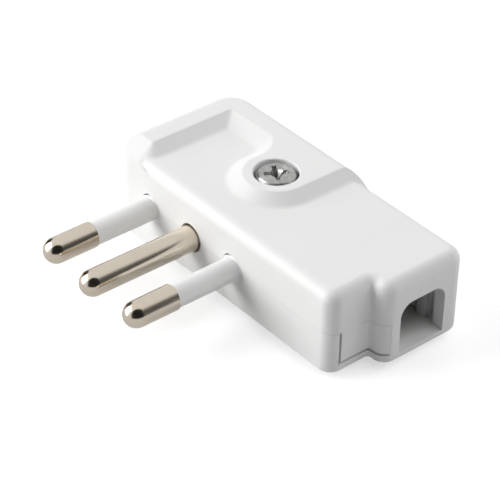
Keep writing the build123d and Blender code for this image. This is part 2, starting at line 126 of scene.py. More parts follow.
def combine(tree, links, operation, first, second):
    """Join two numbers, each a socket or a plain value, by one operation."""
    step = tree.new("ShaderNodeMath")
    step.operation = operation
    for entry, number in zip(step.inputs, (first, second)):
        if isinstance(number, float):
            entry.default_value = number
        else:
            links.new(number, entry)
    return step.outputs[0]


def by_ray(tree, links, straight, mirrored, other):
    """One number for rays from the camera or through glass, one for mirrors, one for the rest."""
    rays = tree.new("ShaderNodeLightPath").outputs
    clear = combine(tree, links, "MAXIMUM", rays["Is Camera Ray"], rays["Is Transmission Ray"])
    seen = combine(tree, links, "MULTIPLY", clear, straight)
    mirror = combine(tree, links, "MULTIPLY", rays["Is Glossy Ray"], mirrored)
    brighter = combine(tree, links, "MAXIMUM", seen, mirror)
    return combine(tree, links, "MAXIMUM", brighter, other)


print("rays told apart: straight, mirrored, other")

# %% [markdown]
# The sheet itself is one large plane. Its white has two halves that are added: a board that takes
# light and shadow, and the glow. It lies a hair below the plug, so that the two don't touch.

# %% Lay the white sheet
SHEET_SIDE = 3.0
SHEET_COLOUR = (0.70, 0.70, 0.70, 1)
SHEET_GLOW = 0.55
MIRRORED_SHARE = 0.1
SHEET_GAP = 0.02 * MM


def new_material(name):
    """A material with an empty node tree, and its nodes and links."""
    material = bpy.data.materials.new(name)
    material.use_nodes = True
    material.node_tree.nodes.clear()
    return material, material.node_tree.nodes, material.node_tree.links


def sheet_finish():
    """A board with a glow, clear for a camera below it."""
    material, tree, links = new_material("white_sheet")
    glow = tree.new("ShaderNodeEmission")
    strength = by_ray(tree, links, SHEET_GLOW, MIRRORED_SHARE * SHEET_GLOW, 0.0)
    links.new(strength, glow.inputs["Strength"])
    board = tree.new("ShaderNodeBsdfDiffuse")
    board.inputs["Color"].default_value = SHEET_COLOUR
    both = tree.new("ShaderNodeAddShader")
    links.new(board.outputs[0], both.inputs[0])
    links.new(glow.outputs[0], both.inputs[1])
    below = combine(
        tree, links, "MULTIPLY",
        tree.new("ShaderNodeNewGeometry").outputs["Backfacing"],
        tree.new("ShaderNodeLightPath").outputs["Is Camera Ray"],
    )
    clear = tree.new("ShaderNodeBsdfTransparent")
    either = tree.new("ShaderNodeMixShader")
    links.new(below, either.inputs[0])
    links.new(both.outputs[0], either.inputs[1])
    links.new(clear.outputs[0], either.inputs[2])
    output = tree.new("ShaderNodeOutputMaterial")
    links.new(either.outputs[0], output.inputs["Surface"])
    return material


bpy.ops.object.select_all(action="DESELECT")
bpy.ops.mesh.primitive_plane_add(size=SHEET_SIDE, location=(0, 0, cad_box[0][2] - SHEET_GAP))
sheet = bpy.context.active_object
sheet.name = "white_sheet"
sheet.data.materials.append(sheet_finish())
print("sheet at", round(sheet.location.z / MM, 2), "mm")

# %% [markdown]
# ## The tent
# Polished metal shows its surroundings more than its own colour. The pins mirror a white tent
# that is open on the right, towards the cable end, and has a narrow slit on the left: the
# openings are the dark line along each pin and the dark marks on its round tip. The tent
# is only seen in mirrors, while the lamps of the next step light the plug.

# %% Put up the tent
ROOM_LEVEL = 0.02
TENT_LEVEL = 0.86
WHITE_LEVEL = 1.0
TENT_OPENINGS = (
    (Vector((0.85, -0.34, 0.40)), radians(54.8)),
    (Vector((-0.97, -0.12, 0.20)), radians(27)),
)
OPENING_EDGE = radians(2)


def tent_wall(tree, links):
    """The tent's brightness by direction: pale cloth, and dark where it is open."""
    way = tree.new("ShaderNodeTexCoord").outputs["Generated"]
    level = TENT_LEVEL
    for towards, reach in TENT_OPENINGS:
        turn = tree.new("ShaderNodeVectorMath")
        turn.operation = "DOT_PRODUCT"
        turn.inputs[1].default_value = towards.normalized()
        links.new(way, turn.inputs[0])
        edge = tree.new("ShaderNodeMapRange")
        edge.inputs["From Min"].default_value = cos(reach + OPENING_EDGE)
        edge.inputs["From Max"].default_value = cos(reach - OPENING_EDGE)
        edge.inputs["To Min"].default_value = TENT_LEVEL
        edge.inputs["To Max"].default_value = ROOM_LEVEL
        links.new(turn.outputs["Value"], edge.inputs["Value"])
        level = combine(tree, links, "MINIMUM", edge.outputs["Result"], level)
    return level


tent = bpy.data.worlds.new("white_tent")
bpy.context.scene.world = tent
tent.use_nodes = True
tent_nodes, tent_links = tent.node_tree.nodes, tent.node_tree.links
tent_light = tent_nodes["Background"]
tent_light.inputs["Color"].default_value = (1, 1, 1, 1)
tent_links.new(
    by_ray(tent_nodes, tent_links, WHITE_LEVEL, tent_wall(tent_nodes, tent_links), ROOM_LEVEL),
    tent_light.inputs["Strength"],
)
print("tent with", len(TENT_OPENINGS), "openings")

# %% [markdown]
# ## The light
# The pin face is the brightest and the cable end the darkest. Three soft lamps give that as a
# studio would: a key low at the left in front, a wide panel behind, and a weaker one high over the
# cable end. Only the key shows in mirrors, as the white spot on each pin's tip.

# %% Make the lamps
LAMP_DISTANCE = 0.6
KEY_FROM = Vector((-0.615, -0.66, 0.43))
KEY_SIZE = (0.5, 0.5)
KEY_BRIGHTNESS = 5.9
PANEL_PLACE = Vector((-0.13, 0.30, 0.29))
PANEL_TOWARDS = Vector((0, -1, 0))
PANEL_SIZE = (0.94, 0.58)
PANEL_BRIGHTNESS = 1.10
ABOVE_FROM = Vector((0.55, 0.25, 0.80))
ABOVE_SIZE = (0.6, 0.6)
ABOVE_BRIGHTNESS = 1.19


def add_lamp(name, place, towards, size, brightness, mirrored=False):
    """A soft lamp of one brightness, in metres, that faces a direction."""
    lamp = bpy.data.lights.new(name, "AREA")
    lamp.shape = "RECTANGLE"
    lamp.size, lamp.size_y = size
    lamp.energy = brightness * pi * size[0] * size[1]
    stand = bpy.data.objects.new(name, lamp)
    bpy.context.scene.collection.objects.link(stand)
    stand.location = place
    stand.rotation_euler = (-towards).to_track_quat("Z", "Y").to_euler()
    stand.visible_camera = False
    stand.visible_glossy = mirrored


add_lamp("key", KEY_FROM * LAMP_DISTANCE, -KEY_FROM, KEY_SIZE, KEY_BRIGHTNESS, mirrored=True)
add_lamp("panel", PANEL_PLACE, PANEL_TOWARDS, PANEL_SIZE, PANEL_BRIGHTNESS)
add_lamp("above", ABOVE_FROM * LAMP_DISTANCE, -ABOVE_FROM, ABOVE_SIZE, ABOVE_BRIGHTNESS)
print("lamps:", [light.name for light in bpy.data.lights])

# %% [markdown]
# ## Effects that several finishes share
# An effect that more than one finish needs is a node group, made once and placed in every material
# with values of its own. The first is the skin of moulded plastic: a slow change of tone where
# the melt flowed, and the fine grain of the mould. Two noises of different scale give both.

# %% Build the moulded skin
FLOW_SCALE = 120.0
FLOW_DETAIL = 3.0
GRAIN_SCALE = 5000.0
GRAIN_DETAIL = 2.0


def new_group(name, inputs, outputs):
    """A shader node group with named sockets, its way in and its way out."""
    group = bpy.data.node_groups.new(name, "ShaderNodeTree")
    for label, kind, value in inputs:
        socket = group.interface.new_socket(label, in_out="INPUT", socket_type=kind)
        if value is not None:
            socket.default_value = value
    for label, kind in outputs:
        group.interface.new_socket(label, in_out="OUTPUT", socket_type=kind)
    entry = group.nodes.new("NodeGroupInput")
    leave = group.nodes.new("NodeGroupOutput")
    return group, entry.outputs, leave.inputs


def moulded_skin_group():
    """Tone is the slow flow of the melt, Grain the fine skin of the mould."""
    group, entry, leave = new_group(
        "moulded_skin",
        [
            ("Vector", "NodeSocketVector", None),
            ("Flow Scale", "NodeSocketFloat", FLOW_SCALE),
            ("Grain Scale", "NodeSocketFloat", GRAIN_SCALE),
        ],
        [("Tone", "NodeSocketFloat"), ("Grain", "NodeSocketFloat")],
    )
    flow = group.nodes.new("ShaderNodeTexNoise")
    flow.inputs["Detail"].default_value = FLOW_DETAIL
    grain = group.nodes.new("ShaderNodeTexNoise")
    grain.inputs["Detail"].default_value = GRAIN_DETAIL
    group.links.new(entry["Vector"], flow.inputs["Vector"])
    group.links.new(entry["Vector"], grain.inputs["Vector"])
    group.links.new(entry["Flow Scale"], flow.inputs["Scale"])
    group.links.new(entry["Grain Scale"], grain.inputs["Scale"])
    group.links.new(flow.outputs["Fac"], leave["Tone"])
    group.links.new(grain.outputs["Fac"], leave["Grain"])
    return group


MOULDED_SKIN = moulded_skin_group()
print("shared effect:", MOULDED_SKIN.name)

# %% [markdown]
# The second is turned metal. A lathe leaves rings round the axis, which a noise along one axis
# can give, and handling leaves faint smudges on the plating, which are a noise in all directions.

# %% Build the turned metal
RING_SCALE = 9000.0
RING_DETAIL = 2.0
SMUDGE_SCALE = 350.0
SMUDGE_DETAIL = 4.0


def turned_metal_group():
    """Rings follow the third axis of the vector, Smudges cloud the plating."""
    group, entry, leave = new_group(
        "turned_metal",
        [
            ("Vector", "NodeSocketVector", None),
            ("Ring Scale", "NodeSocketFloat", RING_SCALE),
            ("Smudge Scale", "NodeSocketFloat", SMUDGE_SCALE),
        ],
        [("Rings", "NodeSocketFloat"), ("Smudges", "NodeSocketFloat")],
    )
    split = group.nodes.new("ShaderNodeSeparateXYZ")
    rings = group.nodes.new("ShaderNodeTexNoise")
    rings.noise_dimensions = "1D"
    rings.inputs["Detail"].default_value = RING_DETAIL
    smudges = group.nodes.new("ShaderNodeTexNoise")
    smudges.inputs["Detail"].default_value = SMUDGE_DETAIL
    group.links.new(entry["Vector"], split.inputs[0])
    group.links.new(split.outputs["Z"], rings.inputs["W"])
    group.links.new(entry["Ring Scale"], rings.inputs["Scale"])
    group.links.new(entry["Vector"], smudges.inputs["Vector"])
    group.links.new(entry["Smudge Scale"], smudges.inputs["Scale"])
    group.links.new(rings.outputs["Fac"], leave["Rings"])
    group.links.new(smudges.outputs["Fac"], leave["Smudges"])
    return group


TURNED_METAL = turned_metal_group()
print("shared effect:", TURNED_METAL.name)

# %% [markdown]
# ## The finishes
# Every finish starts from one surface shader. The helpers below let a mask from a group slide a
# colour or a roughness between two values, which is how a surface gets life without a
# picture: the eye reads the small changes as plastic or as plated metal. The Mix node has
# sockets for every kind of value, so those for colours are found by their number.

# %% Slide colours, values and bumps
MIX_FACTOR, MIX_FIRST, MIX_SECOND = 0, 6, 7
MIX_RESULT = 2
BUMP_STRENGTH = 0.5


def surface(tree, links):
    """A surface shader joined to the material's output."""
    shader = tree.new("ShaderNodeBsdfPrincipled")
    output = tree.new("ShaderNodeOutputMaterial")
    links.new(shader.outputs[0], output.inputs["Surface"])
    return shader


def slide_colour(tree, links, mask, low, high, socket):
    """Let a mask carry a colour socket from one colour to another."""
    mix = tree.new("ShaderNodeMix")
    mix.data_type = "RGBA"
    mix.inputs[MIX_FIRST].default_value = (*low, 1)
    mix.inputs[MIX_SECOND].default_value = (*high, 1)
    links.new(mask, mix.inputs[MIX_FACTOR])
    links.new(mix.outputs[MIX_RESULT], socket)


def slide_value(tree, links, mask, low, high, socket):
    """Let a mask carry a number socket from one value to another."""
    span = tree.new("ShaderNodeMapRange")
    span.inputs["To Min"].default_value = low
    span.inputs["To Max"].default_value = high
    links.new(mask, span.inputs["Value"])
    links.new(span.outputs["Result"], socket)


def raise_bump(tree, links, height, depth, shader):
    """Feed a height to the shader's normal."""
    bump = tree.new("ShaderNodeBump")
    bump.inputs["Strength"].default_value = BUMP_STRENGTH
    bump.inputs["Distance"].default_value = depth
    links.new(height, bump.inputs["Height"])
    links.new(bump.outputs["Normal"], shader.inputs["Normal"])


print("bumps at", BUMP_STRENGTH, "of their depth")

# %% [markdown]
# Three plastics share one recipe: the satin white of the housing, the smoother white of the sleeves
# and the plain grey of the bar that holds the cable. They differ in colour, gloss and grain.

# %% Mix the plastics


def moulded_plastic(name, low, high, roughness, grain_scale, grain_depth):
    """A plastic whose colour and gloss drift between two values, with a fine grain."""
    material, tree, links = new_material(name)
    shader = surface(tree, links)
    place = tree.new("ShaderNodeTexCoord")
    skin = tree.new("ShaderNodeGroup")
    skin.node_tree = MOULDED_SKIN
    skin.inputs["Grain Scale"].default_value = grain_scale
    links.new(place.outputs["Object"], skin.inputs["Vector"])
    slide_colour(tree, links, skin.outputs["Tone"], low, high, shader.inputs["Base Color"])
    slide_value(tree, links, skin.outputs["Tone"], *roughness, shader.inputs["Roughness"])
    raise_bump(tree, links, skin.outputs["Grain"], grain_depth, shader)
    return material


HOUSING_WHITE = moulded_plastic(
    "housing_white", low=(0.835, 0.835, 0.83), high=(0.865, 0.865, 0.86),
    roughness=(0.42, 0.52), grain_scale=5000, grain_depth=0.004 * MM,
)
SLEEVE_WHITE = moulded_plastic(
    "sleeve_white", low=(0.86, 0.86, 0.855), high=(0.89, 0.89, 0.885),
    roughness=(0.25, 0.38), grain_scale=4000, grain_depth=0.003 * MM,
)
CLAMP_GREY = moulded_plastic(
    "clamp_grey", low=(0.52, 0.52, 0.51), high=(0.58, 0.58, 0.57),
    roughness=(0.40, 0.55), grain_scale=3000, grain_depth=0.006 * MM,
)
print("plastics:", HOUSING_WHITE.name, SLEEVE_WHITE.name, CLAMP_GREY.name)

# %% [markdown]
# The pins are nickel plated and polished, the screws and the nut have a duller, cloudy zinc. Both
# were turned, so their gloss is drawn out across the rings, which is what anisotropy does. The
# rings follow the axis of the lathe: it lies along Y for the pins and along Z for the screws.

# %% Plate the metals
GLOSS_STRETCH = 0.9
ACROSS_RINGS = 0.25
LATHE_TURN = {"Y": (radians(90), 0, 0), "Z": (0, 0, 0)}


def plated_metal(name, axis, low, high, roughness, ring_scale, ring_depth, smudge_scale):
    """A plated metal that was turned about one axis."""
    material, tree, links = new_material(name)
    shader = surface(tree, links)
    shader.inputs["Metallic"].default_value = 1.0
    shader.inputs["Anisotropic"].default_value = GLOSS_STRETCH
    shader.inputs["Anisotropic Rotation"].default_value = ACROSS_RINGS
    round_axis = tree.new("ShaderNodeTangent")
    round_axis.direction_type = "RADIAL"
    round_axis.axis = axis
    links.new(round_axis.outputs["Tangent"], shader.inputs["Tangent"])
    place = tree.new("ShaderNodeTexCoord")
    lathe = tree.new("ShaderNodeMapping")
    lathe.inputs["Rotation"].default_value = LATHE_TURN[axis]
    links.new(place.outputs["Object"], lathe.inputs["Vector"])
    turned = tree.new("ShaderNodeGroup")
    turned.node_tree = TURNED_METAL
    turned.inputs["Ring Scale"].default_value = ring_scale
    turned.inputs["Smudge Scale"].default_value = smudge_scale
    links.new(lathe.outputs["Vector"], turned.inputs["Vector"])
    slide_colour(tree, links, turned.outputs["Smudges"], low, high, shader.inputs["Base Color"])
    slide_value(tree, links, turned.outputs["Smudges"], *roughness, shader.inputs["Roughness"])
    raise_bump(tree, links, turned.outputs["Rings"], ring_depth, shader)
    return material


NICKEL = plated_metal(
    "nickel_plate", "Y", low=(0.68, 0.605, 0.505), high=(0.74, 0.66, 0.56),
    roughness=(0.12, 0.18), ring_scale=9000, ring_depth=0.001 * MM, smudge_scale=350,
)
ZINC = plated_metal(
    "zinc_plate", "Z", low=(0.24, 0.24, 0.235), high=(0.70, 0.70, 0.69),
    roughness=(0.16, 0.42), ring_scale=7000, ring_depth=0.002 * MM, smudge_scale=1400,
)
print("metals:", NICKEL.name, ZINC.name)

# %% [markdown]
# ## The cable's channel
# The channel that takes the cable gets painted shade: its white is darkened from the mouth
# inwards, where little light reaches. Four masks on the plug's own coordinates tell how deep
# a point lies and whether it is inside a box round the channel, and their product darkens the
# white. The outside isn't touched.

# %% Paint shade into the channel
CHANNEL_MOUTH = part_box("base")[1][0]
UNSHADED_UP_TO = 1.5 * MM
SHADE_FULL_FROM = 5.5 * MM
CHANNEL_HALF = (8 * MM, 5.0 * MM, 4.6 * MM)
CHANNEL_MIDDLE = (CHANNEL_MOUTH - CHANNEL_HALF[0], 14.5 * MM, -1.3 * MM)
# Painted shade: the colour that the channel's white is multiplied by deep inside.
CHANNEL_SHADE = (0.54, 0.54, 0.535)


def channel_depth(tree, links):
    """A mask that is 0 outside the channel and at its mouth, and 1 deep inside."""
    place = tree.new("ShaderNodeTexCoord")
    split = tree.new("ShaderNodeSeparateXYZ")
    links.new(place.outputs["Object"], split.inputs[0])
    span = tree.new("ShaderNodeMapRange")
    span.inputs["From Min"].default_value = CHANNEL_MOUTH - UNSHADED_UP_TO
    span.inputs["From Max"].default_value = CHANNEL_MOUTH - SHADE_FULL_FROM
    links.new(split.outputs["X"], span.inputs["Value"])
    depth = span.outputs["Result"]
    for side, middle, half in zip("XYZ", CHANNEL_MIDDLE, CHANNEL_HALF):
        inside = tree.new("ShaderNodeMath")
        inside.operation = "COMPARE"
        links.new(split.outputs[side], inside.inputs[0])
        inside.inputs[1].default_value = middle
        inside.inputs[2].default_value = half
        depth = combine(tree, links, "MULTIPLY", depth, inside.outputs[0])
    return depth


def paint_channel_shade(material):
    """Paint shade into a plastic, darker along the cable's channel."""
    tree, links = material.node_tree.nodes, material.node_tree.links
    colour = tree["Principled BSDF"].inputs["Base Color"]
    # The product of the masks paints shade into the white, towards CHANNEL_SHADE.
    shade = tree.new("ShaderNodeMix")
    shade.data_type = "RGBA"
    shade.blend_type = "MULTIPLY"
    links.new(channel_depth(tree, links), shade.inputs[MIX_FACTOR])
    links.new(colour.links[0].from_socket, shade.inputs[MIX_FIRST])
    shade.inputs[MIX_SECOND].default_value = (*CHANNEL_SHADE, 1)
    links.new(shade.outputs[MIX_RESULT], colour)


paint_channel_shade(HOUSING_WHITE)
# The shade painted into the channel is full this far behind its mouth.
print("channel dull from", round(SHADE_FULL_FROM / MM, 1), "mm behind its mouth")

# %% [markdown]
# ## Dress the solids
# The pins, the sleeves and the clamp bar already have the right form, so they only change their
# finish. The other solids are dressed alike, and finer pieces take their places further on.

# %% Assign the finishes
FINISH_OF_SLOT = {
    "housing_white": HOUSING_WHITE,
    "sleeve_white": SLEEVE_WHITE,
    "plated_brass": NICKEL,
    "plated_steel": ZINC,
    "clamp_grey": CLAMP_GREY,
}
for piece in frame["record"]["subparts"]:
    node = nodes[piece["node"]]
    for slot in node.material_slots:
        slot.material = FINISH_OF_SLOT[piece["material_slot"]]
print("dressed:", len(nodes), "pieces")

# %% [markdown]
# ## A maker's tools
# The fasteners are modelled as by hand: a primitive is added, opened in edit mode, some of its
# parts are picked and changed, and a modifier is applied. Each of these moves is a small helper
# here. An operator works on all that is selected, so every helper first selects its piece alone.

# %% Lay out the tools


def add_piece(name, primitive, **sizes):
    """Deselect everything, add a primitive and name it."""
    bpy.ops.object.select_all(action="DESELECT")
    primitive(**sizes)
    piece = bpy.context.active_object
    piece.name = name
    return piece


def only(piece):
    """Select one piece alone and make it the active one."""
    bpy.ops.object.select_all(action="DESELECT")
    piece.select_set(True)
    bpy.context.view_layer.objects.active = piece


def edit(piece, mode):
    """Open a piece in edit mode with nothing selected, by vertices, edges or faces."""
    only(piece)
    bpy.ops.object.mode_set(mode="EDIT")
    bpy.ops.mesh.select_mode(type=mode)
    bpy.ops.mesh.select_all(action="DESELECT")
    return bmesh.from_edit_mesh(piece.data)


def leave_edit():
    """Go back to object mode."""
    bpy.ops.object.mode_set(mode="OBJECT")


def pick(shape, parts, test):
    """Select the parts of a shape in edit mode whose points all pass a test."""
    for part in parts:
        part.select_set(all(test(corner.co) for corner in part.verts))
    shape.select_flush_mode()


def keep_place(piece):
    """Put a piece's place, turn and size into its mesh."""
    only(piece)
    bpy.ops.object.transform_apply(location=True, rotation=True, scale=True)


def apply_modifier(piece, kind, **settings):
    """Add a modifier to a piece, set it and apply it."""
    bpy.context.view_layer.objects.active = piece
    modifier = piece.modifiers.new(kind.lower(), kind)
    for name, value in settings.items():
        setattr(modifier, name, value)
    bpy.ops.object.modifier_apply(modifier=modifier.name)


def cut(piece, tool, operation="DIFFERENCE"):
    """Take a tool out of a piece, or keep what both share, and throw the tool away."""
    apply_modifier(piece, "BOOLEAN", operation=operation, object=tool, solver="EXACT")
    bpy.data.objects.remove(tool)


print("tools ready")

# %% [markdown]
# ## The closing screw
# One machine screw pulls the shells together. Its head has a flat crown with a round rim. It is
# a cylinder of the solid's width, and a bevel of its upper edge gives the rim.

# %% Turn the head
screw_low, screw_high = (Vector(corner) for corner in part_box("cover_screw"))
SCREW_AXIS = ((screw_low + screw_high) / 2).to_2d().to_3d()
HEAD_RADIUS = (screw_high.x - screw_low.x) / 2
SEAT_DEPTH = 2.2 * MM
CROWN_DEPTH = 0.15 * MM
HEAD_SEAT = screw_high.z - SEAT_DEPTH
HEAD_TOP = screw_high.z - CROWN_DEPTH
RIM_ROUND = 0.6 * MM
RIM_STEPS = 10
HEAD_SIDES = 96


def round_head(name, axis, radius, seat, top, rim):
    """A flat screw head with a rounded upper rim."""
    head = add_piece(
        name, bpy.ops.mesh.primitive_cylinder_add, vertices=HEAD_SIDES, radius=radius,
        depth=top - seat, location=axis + Vector((0, 0, (top + seat) / 2)),
    )
    keep_place(head)
    shape = edit(head, "EDGE")
    pick(shape, shape.edges, lambda point: point.z > top - rim / 2)
    bpy.ops.mesh.bevel(offset=rim, segments=RIM_STEPS, affect="EDGES")
    leave_edit()
    return head


closing_screw = round_head(
    "closing_screw", SCREW_AXIS, HEAD_RADIUS, HEAD_SEAT, HEAD_TOP, RIM_ROUND
)
print("screw head:", len(closing_screw.data.polygons), "faces")

# %% [markdown]
# A driver's cross is punched into the crown. A boolean cuts it as the punch does: the punch is a
# wide blade that narrows downwards, its copy a quarter turn on, and a cone between them. No
# edge of worked metal is quite sharp, so a fine bevel breaks them all.

# %% Punch the cross
CROSS_TURN = radians(61)
CROSS_DEPTH = 1.5 * MM
BLADE_LENGTH = 4.1 * MM
BLADE_FOOT = 1.5 * MM
BLADE_WIDTH = 0.85 * MM
BLADE_TAPER = 0.6
CONE_RADIUS = 1.15 * MM
CONE_FOOT = 0.45 * MM
CONE_SIDES = 8
OVERCUT = 0.3 * MM
CONE_RISE = OVERCUT / 4
EDGE_BREAK = 0.05 * MM
BREAK_STEPS = 2
BREAK_ABOVE = radians(35)


def cross_blade(axis, top, turn, share):
    """A blade that stands on a screw's axis, wide at the crown and narrow at its foot."""
    depth = share * CROSS_DEPTH
    blade = add_piece("blade", bpy.ops.mesh.primitive_cube_add, size=1)
    blade.scale = (share * BLADE_LENGTH, share * BLADE_WIDTH, depth + OVERCUT)
    keep_place(blade)
    shape = edit(blade, "FACE")
    pick(shape, shape.faces, lambda point: point.z < 0)
    bpy.ops.transform.resize(value=(BLADE_FOOT / BLADE_LENGTH, BLADE_TAPER, 1))
    leave_edit()
    blade.rotation_euler.z = turn
    blade.location = axis + Vector((0, 0, top - (depth - OVERCUT) / 2))
    keep_place(blade)
    return blade


def break_edges(piece):
    """Take the sharpness off every edge of a piece."""
    apply_modifier(
        piece, "BEVEL", width=EDGE_BREAK, segments=BREAK_STEPS,
        limit_method="ANGLE", angle_limit=BREAK_ABOVE,
    )


def punch_cross(head, axis, top, share=1.0):
    """Punch a cross into a head, as large as the closing screw's or a share of it."""
    for quarter in (0, 1):
        cut(head, cross_blade(axis, top, CROSS_TURN + quarter * pi / 2, share))
    depth = share * CROSS_DEPTH
    cone = add_piece(
        "cone", bpy.ops.mesh.primitive_cone_add, vertices=CONE_SIDES,
        radius1=share * CONE_FOOT, radius2=share * CONE_RADIUS, depth=depth,
        rotation=(0, 0, CROSS_TURN + pi / CONE_SIDES),
        location=axis + Vector((0, 0, top - depth / 2 + CONE_RISE)),
    )
    cut(head, cone)
    break_edges(head)


punch_cross(closing_screw, SCREW_AXIS, HEAD_TOP)
print("punched head:", len(closing_screw.data.polygons), "faces")

# %% [markdown]
# The shank carries a rolled thread. One tooth of it is a bent line of three points, which is what
# a plane leaves when one corner is deleted. The Screw modifier winds the line into a helix, one
# pitch for each turn. Two flat cuts with filled ends make the helix a closed rod, which is
# quicker and cleaner than displacing a cylinder.

# %% Wind the thread
PITCH = 0.5 * MM
THREAD_RADIUS = 1.5 * MM
THREAD_DEPTH = 0.27 * MM
TURN_STEPS = 32
SPARE_TURNS = 3
SINK = 0.2 * MM


def tooth_line(name, crest, depth, pitch):
    """One tooth of a thread: a root, the crest and the next root."""
    line = add_piece(name, bpy.ops.mesh.primitive_plane_add, size=pitch)
    shape = edit(line, "VERT")
    max(shape.verts, key=lambda corner: corner.co.x + corner.co.y).select_set(True)
    bpy.ops.mesh.delete(type="VERT")
    shape = bmesh.from_edit_mesh(line.data)
    root, tip, next_root = sorted(shape.verts, key=lambda corner: corner.co.x - corner.co.y)
    root.co = (crest - depth, 0, 0)
    tip.co = (crest, 0, pitch / 2)
    next_root.co = (crest - depth, 0, pitch)
    leave_edit()
    return line


def threaded_rod(name, axis, bottom, top, crest, depth, pitch):
    """A closed rod with a helical thread between two heights."""
    near = pitch / 1000
    rod = tooth_line(name, crest, depth, pitch)
    apply_modifier(
        rod, "SCREW", axis="Z", screw_offset=pitch,
        iterations=int((top - bottom) / pitch) + SPARE_TURNS, steps=TURN_STEPS,
        render_steps=TURN_STEPS, use_merge_vertices=True, merge_threshold=near,
        use_smooth_shade=False,
    )
    rod.location = axis + Vector((0, 0, bottom - SPARE_TURNS / 2 * pitch))
    keep_place(rod)
    edit(rod, "FACE")
    bpy.ops.mesh.select_all(action="SELECT")
    bpy.ops.mesh.remove_doubles(threshold=near)
    for height, way in ((bottom, -1), (top, 1)):
        bpy.ops.mesh.select_all(action="SELECT")
        bpy.ops.mesh.bisect(
            plane_co=(0, 0, height), plane_no=(0, 0, way), use_fill=True, clear_outer=True,
            threshold=near,
        )
    bpy.ops.mesh.select_all(action="SELECT")
    bpy.ops.mesh.normals_make_consistent(inside=False)
    leave_edit()
    return rod


shank = threaded_rod(
    "shank", SCREW_AXIS, screw_low.z, HEAD_SEAT + SINK, THREAD_RADIUS, THREAD_DEPTH, PITCH
)
print("shank:", len(shank.data.polygons), "faces")

# %% [markdown]
# Head and shank become one object, which stands for the plain screw of the solids. That is
# the last step of every new piece, so it is a helper too: the finish goes on, flat faces stay
# crisp while round ones are shaded smooth, and the solid it replaces is hidden.

# %% Join the screw
SMOOTH_BELOW = radians(30)


def join(piece, other):
    """Make two pieces one object."""
    only(piece)
    other.select_set(True)
    bpy.ops.object.join()


def stand_for(piece, node, finish):
    """Dress a finished piece, and let it stand for one of the plug's solids."""
    piece.data.materials.clear()
    piece.data.materials.append(finish)
    only(piece)
    bpy.ops.object.shade_smooth_by_angle(angle=SMOOTH_BELOW)
    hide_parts(node)
    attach(piece, "root")


join(closing_screw, shank)
stand_for(closing_screw, "cover_screw", ZINC)
print("closing screw:", len(closing_screw.data.polygons), "faces")

# %% [markdown]
# ## The nut
# A hexagon nut in the base takes the closing screw. Nuts are cut from six-sided bar, and a lathe
# turns their corners off at both ends. Here the bar is a cylinder with six sides, and it keeps
# only what it shares with a round blank whose rims slope off, which gives the curved edges of a
# real nut. The blank is bevelled at equal sides and then flattened, to get the slope.

# %% Cut the nut
NUT_SIDES = 6
NUT_BORE = 1.52 * MM
BORE_SIDES = 48
BLANK_SPREAD = 1.2
TURNED_SHARE = 0.95
CHAMFER_SLOPE = tan(radians(30))

nut_low, nut_high = (Vector(corner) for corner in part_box("cover_nut"))
nut_size = nut_high - nut_low
nut_middle = (nut_low + nut_high) / 2
nut_turn = pi / NUT_SIDES if nut_size.x > nut_size.y else 0
across_flats, across_corners = sorted((nut_size.x, nut_size.y))


def round_blank():
    """A round blank, wider than the nut's corners, whose rims slope off."""
    radius = BLANK_SPREAD * across_corners / 2
    height = nut_size.z / CHAMFER_SLOPE
    blank = add_piece(
        "blank", bpy.ops.mesh.primitive_cylinder_add, vertices=HEAD_SIDES, radius=radius,
        depth=height,
    )
    for side in (-1, 1):
        shape = edit(blank, "EDGE")
        pick(shape, shape.edges, lambda point: point.z * side > height / 3)
        bpy.ops.mesh.bevel(
            offset=radius - TURNED_SHARE * across_flats / 2, segments=1, affect="EDGES"
        )
        leave_edit()
    blank.scale.z = CHAMFER_SLOPE
    blank.location = nut_middle
    keep_place(blank)
    return blank


closing_nut = add_piece(
    "closing_nut", bpy.ops.mesh.primitive_cylinder_add, vertices=NUT_SIDES,
    radius=across_corners / 2, depth=nut_size.z, location=nut_middle, rotation=(0, 0, nut_turn),
)
keep_place(closing_nut)
cut(closing_nut, round_blank(), "INTERSECT")
cut(closing_nut, add_piece(
    "bore", bpy.ops.mesh.primitive_cylinder_add, vertices=BORE_SIDES, radius=NUT_BORE,
    depth=2 * nut_size.z, location=nut_middle,
))
break_edges(closing_nut)
stand_for(closing_nut, "cover_nut", ZINC)
print("nut:", len(closing_nut.data.polygons), "faces")

# %% [markdown]
# ## The terminal screws
# A slotted screw presses the wire in each pin's barrel. It is made once, with the tools of the
# closing screw, and its slot is cut by a block as a saw would. The other places get copies,
# each with a mesh of its own, because a finished piece keeps its place in its mesh.

# %% Make the terminal screws
SMALL_RIM = 0.25 * MM
TERMINAL_HEAD = 1.5 * MM
TERMINAL_THREAD = (1.25 * MM, 0.24 * MM, 0.45 * MM)
SLOT_WIDTH = 0.7 * MM
SLOT_DEPTH = 0.8 * MM
TERMINAL_PLACES = (
    "earth_terminal_screw", "grip_side_terminal_screw", "cable_side_terminal_screw"
)


def place_of(node):
    """A node's upright axis, its lowest and highest point and its radius."""
    low, high = (Vector(corner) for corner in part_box(node))
    return ((low + high) / 2).to_2d().to_3d(), low.z, high.z, (high.x - low.x) / 2


def slotted_screw(name, node):
    """A screw with a slot sawn across its head, in a node's place."""
    axis, low, top, radius = place_of(node)
    screw = round_head(name, axis, radius, top - TERMINAL_HEAD, top, SMALL_RIM)
    slot = add_piece("slot", bpy.ops.mesh.primitive_cube_add, size=1)
    slot.scale = (4 * radius, SLOT_WIDTH, 2 * SLOT_DEPTH)
    slot.location = axis + Vector((0, 0, top))
    keep_place(slot)
    cut(screw, slot)
    break_edges(screw)
    join(screw, threaded_rod("shank", axis, low, top - TERMINAL_HEAD + SINK, *TERMINAL_THREAD))
    return screw


